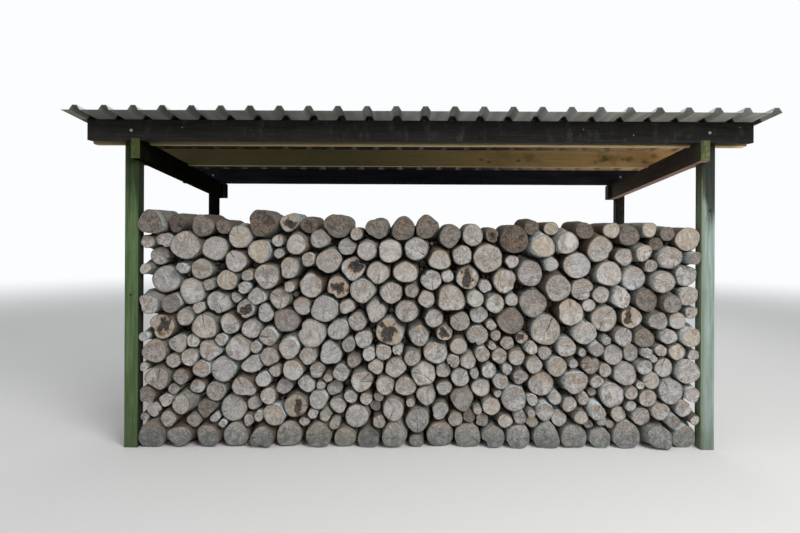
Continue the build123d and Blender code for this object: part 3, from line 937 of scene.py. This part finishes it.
# %% Keep rings, faces and values together
FACE_RINGS = (0.0, 0.2, 0.4, 0.6, 0.8, 0.93, 1.0)
PLAIN_FACE_RINGS = (0.0, 0.5, 1.0)
SIDE_STATIONS = (0.0, 0.012, 0.04, 0.11, 0.24, 0.42, 0.65, 0.9, 1.0)
REAR_SIDE_STATIONS = (0.0, 0.02, 0.35, 0.75, 1.0)
TAPER_SHARE = 0.4      # share of its length over which a front end gets thinner
RAGGED_SHARE = 0.11    # share of its length over which the torn edge fades
BARK_THICKNESS = (0.002, 0.0055)    # of a log about 75 mm in radius
OFF_CENTRE = 0.13      # a heart lies up to this share of the radius to the side, and to the top or bottom
FACE_INSET = 0.003     # the sawn face starts this far inside its room
SMALLEST_CHIP = 0.0012
DEEPEST_CHIP = 0.007   # how far bark has chipped back from the saw's cut
ROUGH_SCALE = 38       # bumps in each metre of a torn face
WAIST = ((0.16, 0.0), (0.42, 1.0), (0.7, 1.0), (1.0, 0.0))   # how full the prism is, by share of the length


class LogMesh:
    """Points, faces and stored values of many logs, kept together until they become one object."""

    def __init__(self):
        self.points = []
        self.faces = []
        self.is_bark = []
        self.values = {name: [] for name in VALUE_NAMES}
        self.round_place = []
        self.count = 0

    def add_ring(self, ring, rim, log, heart, size):
        """ring is count x 3 points; rim is 0 at the heart and 1 under the bark."""
        self.points.append(ring)
        place = np.zeros_like(ring)
        place[:, 0] = (ring[:, 0] - heart[0]) / size
        place[:, 2] = (ring[:, 2] - heart[1]) / size
        self.round_place.append(place)
        length = len(ring)
        for name, value in {**log, "log_rim": rim}.items():
            self.values[name].append(np.full(length, value))
        self.count += length
        return self.count - length

    def join_rings(self, first, second, count, bark):
        """Quads between two rings of the same count, facing out when the second lies further on."""
        for place in range(count):
            after = (place + 1) % count
            self.faces.append((first + place, first + after, second + after, second + place))
            self.is_bark.append(bark)

    def cap(self, middle, ring, count, flip):
        for place in range(count):
            after = (place + 1) % count
            corners = (middle, ring + after, ring + place) if flip else (middle, ring + place, ring + after)
            self.faces.append(corners)
            self.is_bark.append(0)

    def make_piece(self, piece_name, node_name=None):
        data = bpy.data.meshes.new(piece_name)
        data.from_pydata(np.concatenate(self.points).tolist(), [], self.faces)
        data.polygons.foreach_set("material_index", self.is_bark)
        data.polygons.foreach_set("use_smooth", [True] * len(data.polygons))
        for name, lists in self.values.items():
            stored = data.attributes.new(name, "FLOAT", "POINT")
            stored.data.foreach_set("value", np.concatenate(lists).astype(np.float32))
        stored = data.attributes.new("round_place", "FLOAT_VECTOR", "POINT")
        stored.data.foreach_set("vector", np.concatenate(self.round_place).astype(np.float32).ravel())
        data.set_sharp_from_angle(angle=math.radians(48))
        data.materials.append(log_end)
        data.materials.append(log_bark)
        add_piece(piece_name, data, node_name)


# %% Build one log from its rings


def rough_face(x, z, seed, deepest):
    """Depth of the torn and weathered surface at each point of a ring, from 0 to deepest."""
    spots = [(place_x * ROUGH_SCALE, seed * 91.7, place_z * ROUGH_SCALE) for place_x, place_z in zip(x, z)]
    return np.array([0.5 + 0.5 * noise.noise(Vector(spot)) for spot in spots]) * deepest


def add_log(mesh, room, rng, log, shape, fine):
    corners, middle, near, far = room
    count = AROUND if fine else REAR_AROUND
    face_rings = FACE_RINGS if fine else PLAIN_FACE_RINGS
    stations = SIDE_STATIONS if fine else REAR_SIDE_STATIONS
    outline, waist = log_outline(corners, rng, count, shape)
    size = float(outline.mean())
    turn = all_round(count)
    bark = rng.uniform(*BARK_THICKNESS) * (0.7 + 4 * size)
    shift = [rng.uniform(-OFF_CENTRE, OFF_CENTRE) * size for axis in "xz"]
    rest = int((shape["rest_turn"] % FULL_TURN) / FULL_TURN * count)
    foot_x = middle[0] + outline[rest] * math.cos(turn[rest])
    foot_z = middle[1] + outline[rest] * math.sin(turn[rest])
    lean = shape["lean"]
    slack = abs(lean[0]) * size + abs(lean[1]) * size + FACE_INSET
    chips = 0.5 + 0.5 * np.sin(turn * rng.choice((3, 4, 5)) + rng.uniform(0, 6.3))
    chips = chips * rng.uniform(0.0, DEEPEST_CHIP) + SMALLEST_CHIP
    start = rng.uniform(0, 6.3)
    torn = np.sin(turn * 3 + start) + 0.7 * np.sin(turn * 7 - start * 2) + 0.5 * np.sin(turn * 13)
    ragged = 1 - shape["ragged"] * np.maximum(0, torn) / 2.2

    def scale_at(along):
        share = max(0.0, 1 - along / TAPER_SHARE)
        return 1 - (1 - shape["thin_end"]) * share * share * (3 - 2 * share)

    def centre_at(scale):
        """The log shrinks towards its foot, the point where it rests."""
        return foot_x + (middle[0] - foot_x) * scale, foot_z + (middle[1] - foot_z) * scale

    def leaning(x, y, z):
        """Points of a ring, moved along the log by its leaning cut. None goes under the ground."""
        tilt = (x - middle[0]) * lean[0] + (z - middle[1]) * lean[1]
        return np.stack([x, y + tilt, np.maximum(z, 0.0)], axis=1)

    def face_ring(share, end_y, way, scale, edge):
        """Points of the sawn face, share of the way from the heart to the bark."""
        centre = centre_at(scale)
        reach = (outline * scale * edge - bark) * share
        x = centre[0] + shift[0] * (1 - share) + reach * np.cos(turn)
        z = centre[1] + shift[1] * (1 - share) + reach * np.sin(turn)
        dip = shape["hollow"] * max(0.0, 1 - share / 0.6) ** 1.5
        depth = rough_face(x, z, log["log_seed"], shape["rough"]) if fine and way > 0 else 0.001
        return leaning(x, end_y + way * (slack + dip + depth), z)

    def side_ring(along):
        scale = scale_at(along)
        centre = centre_at(scale)
        fade = max(0.0, 1 - along / RAGGED_SHARE)
        full = float(np.interp(along, *zip(*WAIST)))
        reach = (outline * (1 - full) + waist * full) * scale * (1 - (1 - ragged) * fade)
        if 0.01 < along < 0.99:
            knobbly = 1 - 0.012 * (1 + np.sin(turn * 3 + along * 5 + bark * 900))
            knobbly = knobbly * (1 - 0.006 * (1 + np.sin(turn * 8 - along * 9)))
            reach = reach * (knobbly * (1 - full) + full)
        from_near = (slack + chips) * (1 - along)
        from_far = (slack + chips) * along
        y = near + from_near + (far - near) * along - from_far
        return leaning(centre[0] + reach * np.cos(turn), y, centre[1] + reach * np.sin(turn))

    def add_face(end_y, way, rings, scale, edge):
        """The sawn face at one end; way is 1 at the near end and -1 at the far end."""
        centre = centre_at(scale)
        heart = (centre[0] + shift[0], centre[1] + shift[1])
        heart_point = face_ring(0.0, end_y, way, scale, edge).mean(axis=0, keepdims=True)
        first = mesh.add_ring(heart_point, 0.0, log, heart, size)
        before = None
        for share in rings[1:]:
            ring = mesh.add_ring(face_ring(share, end_y, way, scale, edge), share, log, heart, size)
            if before is None:
                mesh.cap(first, ring, count, way < 0)
            elif way > 0:
                mesh.join_rings(before, ring, count, 0)
            else:
                mesh.join_rings(ring, before, count, 0)
            before = ring
        return before

    before = add_face(near, 1, face_rings, scale_at(0.0), ragged)
    for along in stations:
        ring = mesh.add_ring(side_ring(along), 1.0, log, middle, size)
        mesh.join_rings(before, ring, count, 1)
        before = ring
    back = add_face(far, -1, PLAIN_FACE_RINGS, 1.0, 1.0)
    mesh.join_rings(before, back, count, 1)


# %% [markdown]
# ## What each log is like
#
# Chance decides most of it, from a fixed seed, so that the stack comes out the same each time. The top row
# lies open to the weather, so its logs are older, darker and rounder; at its right end some were cut not
# long ago. A few logs are listed one by one, because a rotten heart or a yellow face catches the eye.

# %% Choose colour and form
STACK_TOP = 1.548        # half-way along the stack, logs with their middle above this are in the top row
STACK_TOP_FALL = 0.022   # the top row falls this much per metre to the right
FRESH_FROM = 0.9         # right of this some of the top logs were cut not long ago
THINNEST_ROTTEN = 0.055  # radius
# places of the logs that are listed one by one, across and up from the middle of the store's foot
ROTTEN_AT = (
    (-1.89, 1.00), (-1.29, 0.96), (-0.36, 0.88), (-0.12, 0.90), (0.21, 0.89), (0.73, 0.84), (-0.45, 1.33))
FRESH_AT = ((0.98, 1.58), (1.42, 1.59), (1.97, 1.54), (-1.12, 1.47), (-1.31, 1.47))


def is_on_top(middle, is_rear):
    return middle[1] > STACK_TOP - STACK_TOP_FALL * middle[0] and not is_rear


def is_at(spots, middle, radius):
    return any(math.dist(middle, spot) < radius for spot in spots)


def log_character(rng, middle, is_rear, radius):
    """The numbers that tell one log's colour from another. Old and rotten logs lie mostly on top."""
    on_top = is_on_top(middle, is_rear)
    fresh_side = on_top and middle[0] > FRESH_FROM
    if on_top and rng.random() < (0.45 if fresh_side else 0.88):
        age = rng.uniform(0.7, 1.0)
    else:
        age = rng.choice((0.0, 0.0, 0.0, 0.05, 0.1, 0.2))
        age = rng.uniform(0.35, 0.8) if rng.random() < 0.07 else age
    is_rotten = rng.random() < (0.15 if on_top and not fresh_side else 0.018) and radius > THINNEST_ROTTEN
    is_yellow = rng.random() < (0.6 if fresh_side else 0.08)
    rot = rng.uniform(0.5, 1.0) if is_rotten else 0.0
    if not is_rear and is_at(ROTTEN_AT, middle, radius):
        rot, age = 1.0, 0.0
    is_fresh = not is_rear and is_at(FRESH_AT, middle, radius)
    if is_fresh:
        rot, age = 0.0, 0.0
    is_yellow = is_fresh or is_yellow and age < 0.3
    return {
        "log_seed": rng.random(),
        "log_tone": rng.betavariate(1.5, 1.3),
        "log_hue": rng.random(),
        "log_age": age,
        "log_rot": rot,
        "log_stain": rng.uniform(0.45, 1.0) if rng.random() < 0.5 else rng.uniform(0.0, 0.12),
        "log_yellow": rng.uniform(0.45, 0.8) if is_yellow else rng.uniform(0.0, 0.12),
        "log_ray": rng.uniform(0.5, 1.0) if rng.random() < 0.3 else rng.uniform(0.0, 0.25),
        "log_crack": rng.random() if rng.random() < 0.38 else 0.0,
        "log_patch": rng.uniform(0.45, 1.0) if rng.random() < 0.55 else 0.0,
    }


def log_shape(rng, middle, log, is_rear):
    """What the saw and the weather did to a log's form."""
    lean_most = 0.2 if rng.random() < 0.2 else 0.09
    has_notch = rng.random() < 0.08 or log["log_rot"] > 0.9
    is_weathered = log["log_age"] > 0.4 or log["log_rot"]
    rough = rng.uniform(0.004, 0.010) if is_weathered else 0.0018
    on_top = is_on_top(middle, is_rear)
    rest_most = 20 if on_top else 100
    return {
        "lean": (rng.uniform(-lean_most, lean_most), rng.uniform(-lean_most, lean_most)),
        "on_top": on_top,
        "uneven": rng.choice((0.8, 1.1, 1.5, 2.2)),
        "rest_turn": math.radians(-90 + rng.triangular(-rest_most, rest_most, 0)),
        "thin_end": rng.uniform(0.86, 0.94) if rng.random() < 0.3 else rng.uniform(0.95, 1.0),
        "ragged": rng.uniform(0.01, 0.05) if rng.random() < 0.6 else 0.006,
        "notch": rng.uniform(0.18, 0.36) if has_notch else 0.0,
        "notch_turn": rng.uniform(0, 6.28),
        "notch_width": rng.uniform(0.16, 0.40),
        "rough": rough,
        "hollow": rng.uniform(0.01, 0.035) if log["log_rot"] else 0.0,
    }


# %% Build every log of both stacks
log_rng = random.Random(41)
log_total = 0
front_rooms = []
for node_name in [name for name in sorted(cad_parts) if "_logs_" in name]:
    is_rear = node_name.startswith("rear")
    mesh = LogMesh()
    rooms = log_rooms(node_name)
    if not is_rear:
        front_rooms.extend(rooms)
    for room in rooms:
        log = log_character(log_rng, room[1], is_rear, float(np.linalg.norm(room[0], axis=1).mean()))
        add_log(mesh, room, log_rng, log, log_shape(log_rng, room[1], log, is_rear), not is_rear)
    mesh.make_piece("bark_" + node_name, node_name)
    log_total += len(rooms)
print(log_total, "logs built")

# %% [markdown]
# ## Sticks in the gaps
#
# Thin sticks are pushed into the bigger gaps of such a stack, which is also why no daylight shows through
# it. The gaps are found on a fine grid over the front of the stack: for each grid point, the
# distance to the nearest log. The roomiest point gets the thickest stick that fits, then the next one,
# until only narrow gaps are left. Only points with logs above them and on both sides count.

# %% Find the gaps and fill them
GRID = 0.004           # metres between the grid points
GRID_TOP = 1.9         # higher than the stack
WIDEST_GAP = 0.05      # distances are measured up to this
STICK_CORNERS = 8
STICK_BACK = (0.09, 0.17)     # a stick starts this far behind the log ends
STICK_SHORT = (0.01, 0.06)    # and ends this far before their far ends
THINNEST_STICK = 0.006
THICKEST_STICK = 0.026
STACK_SIDES = (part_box("post_front_left")[1][0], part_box("post_front_right")[0][0])


def clearance_grid(rooms):
    """Distance to the nearest log at each grid point; negative inside a log."""
    xs = np.arange(STACK_SIDES[0], STACK_SIDES[1], GRID)
    zs = np.arange(0.0, GRID_TOP, GRID)
    clear = np.full((len(xs), len(zs)), WIDEST_GAP)
    for corners, middle, near, far in rooms:
        normals, distance = prism_sides(corners)
        reach = np.abs(corners).max() + WIDEST_GAP
        in_x = np.nonzero(np.abs(xs - middle[0]) < reach)[0]
        in_z = np.nonzero(np.abs(zs - middle[1]) < reach)[0]
        away_x, away_z = np.meshgrid(xs[in_x] - middle[0], zs[in_z] - middle[1], indexing="ij")
        outside = np.stack([away_x, away_z], axis=-1) @ normals.T - distance
        window = np.ix_(in_x, in_z)
        clear[window] = np.minimum(clear[window], outside.max(axis=-1))
    return xs, zs, clear


def gap_circles(rooms):
    """Middles and radii of the sticks, the thickest first."""
    xs, zs, clear = clearance_grid(rooms)
    inside = clear < 0
    above = np.flip(np.logical_or.accumulate(np.flip(inside, 1), 1), 1)
    left = np.logical_or.accumulate(inside, 0)
    right = np.flip(np.logical_or.accumulate(np.flip(inside, 0), 0), 0)
    clear = np.where(above & left & right, clear, -1.0)
    walls = np.minimum(xs - STACK_SIDES[0], STACK_SIDES[1] - xs)
    clear = np.minimum(clear, np.minimum(walls[:, None], zs[None, :]))
    circles = []
    while clear.max() > THINNEST_STICK:
        place_x, place_z = np.unravel_index(int(clear.argmax()), clear.shape)
        x, z = xs[place_x], zs[place_z]
        radius = min(float(clear[place_x, place_z]), THICKEST_STICK) - 0.0005
        circles.append((float(x), float(z), radius))
        away = np.hypot(xs[:, None] - x, zs[None, :] - z) - radius
        clear = np.minimum(clear, away)
    return circles


stick_rng = random.Random(8)
gaps = gap_circles(front_rooms)
stack_front = float(np.median([room[2] for room in front_rooms]))
stack_back = float(np.median([room[3] for room in front_rooms]))
sticks = LogMesh()
for x, z, radius in gaps:
    turn = all_round(STICK_CORNERS)
    corners = np.stack([np.cos(turn), np.sin(turn)], axis=1) * radius
    near = stack_front + stick_rng.uniform(*STICK_BACK)
    far = stack_back - stick_rng.uniform(*STICK_SHORT)
    log = log_character(stick_rng, (x, z), True, radius)
    # Painted shade: every stick is given old, dark wood, as it lies in the shade of a gap.
    log["log_age"] = stick_rng.uniform(0.6, 1.0)
    shape = log_shape(stick_rng, (x, z), log, True)
    add_log(sticks, (corners, np.array((x, z)), near, far), stick_rng, log, shape, False)
sticks.make_piece("gap_sticks")
print(len(gaps), "sticks fill the gaps")

# %% [markdown]
# ## Floor, light and camera
#
# A plain pale floor, three large soft lamps, the strongest from the front right, and an even pale sky light
# the store the way open shade does. Far from the store the floor fades into the sky, so no horizon shows.
# The camera stands nearly opposite the middle of the store at head height, with a wide lens shifted a
# little so that the posts stay upright.

# %% Floor and sky
SKY_COLOUR = (0.965, 0.982, 1.0, 1.0)
SKY_LIGHT = 0.40
FADE_FROM = 7.0        # metres from the origin where the floor starts to fade into the sky
FADE_TO = 19.0
LAMP_AIM = (0, 0, 1.0)


def looked_at(nodes):
    """1 for rays from the camera, and for reflections and glass, which show the same background."""
    seen = nodes.node("ShaderNodeLightPath")
    ray = seen.output.node
    for name in ("Is Glossy Ray", "Is Transmission Ray"):
        seen = nodes.math("MAXIMUM", seen, Socket(nodes, ray.outputs[name]))
    return seen


def floor_finish():
    finish = Finish("pale_floor", roughness=0.9, shine=0.1)
    finish.coat((0.80, 0.80, 0.79))
    far = finish.place.length().step(FADE_FROM, FADE_TO)
    glow = finish.node("ShaderNodeEmission", None, {"Color": SKY_COLOUR, "Strength": 1.0})
    entries = {0: far * looked_at(finish), 1: Socket(finish, finish.shader.outputs[0]), 2: glow}
    both = finish.node("ShaderNodeMixShader", None, entries)
    finish.feed(finish.tree.nodes["Material Output"].inputs["Surface"], both)
    return finish.material


bpy.ops.mesh.primitive_plane_add(size=90)
floor = bpy.context.object
floor.name = "floor"
floor.data.transform(Matrix.Translation((0, 0, -0.0006)))
floor.data.materials.append(floor_finish())

sky = bpy.data.worlds.new("soft_sky")
bpy.context.scene.world = sky
sky.use_nodes = True
background = sky.node_tree.nodes["Background"]
background.inputs["Color"].default_value = SKY_COLOUR
sky_nodes = Nodes(sky.node_tree)
strength = sky_nodes.node("ShaderNodeMix", None, {0: looked_at(sky_nodes), 2: SKY_LIGHT, 3: 1.0})
sky_nodes.feed(background.inputs["Strength"], strength)


def soft_lamp(name, place, width, power):
    data = bpy.data.lights.new(name, "AREA")
    data.shape = "DISK"
    data.size = width
    data.energy = power
    lamp = bpy.data.objects.new(name, data)
    lamp.location = place
    lamp.rotation_euler = (Vector(LAMP_AIM) - Vector(place)).to_track_quat("-Z", "Y").to_euler()
    bpy.context.scene.collection.objects.link(lamp)


soft_lamp("front_lamp", (3.6, -7.2, 6.0), 5.0, 620)
soft_lamp("left_lamp", (-7.0, -4.0, 4.0), 4.0, 60)
soft_lamp("back_lamp", (1.0, 8.0, 5.0), 5.0, 220)

# %% The camera
PHOTO_WIDTH = 800
PHOTO_HEIGHT = 533
FOCAL_PIXELS = 628.25
EYE = (-0.0867, -5.5332, 1.6089)
HORIZON = (408.3, 229.5)      # where the line of sight meets the picture, in pixels
ROLL = 0.0045                 # radians, the picture's right side a little low

data = bpy.data.cameras.new("camera")
data.sensor_width = 36.0
data.lens = FOCAL_PIXELS / PHOTO_WIDTH * data.sensor_width
data.shift_x = (PHOTO_WIDTH / 2 - HORIZON[0]) / PHOTO_WIDTH
data.shift_y = (HORIZON[1] - PHOTO_HEIGHT / 2) / PHOTO_WIDTH
camera = bpy.data.objects.new("camera", data)
camera.location = EYE
camera.rotation_euler = Euler((math.radians(90), -ROLL, 0))
bpy.context.scene.collection.objects.link(camera)
bpy.context.scene.camera = camera
bpy.context.scene.view_settings.view_transform = "Standard"
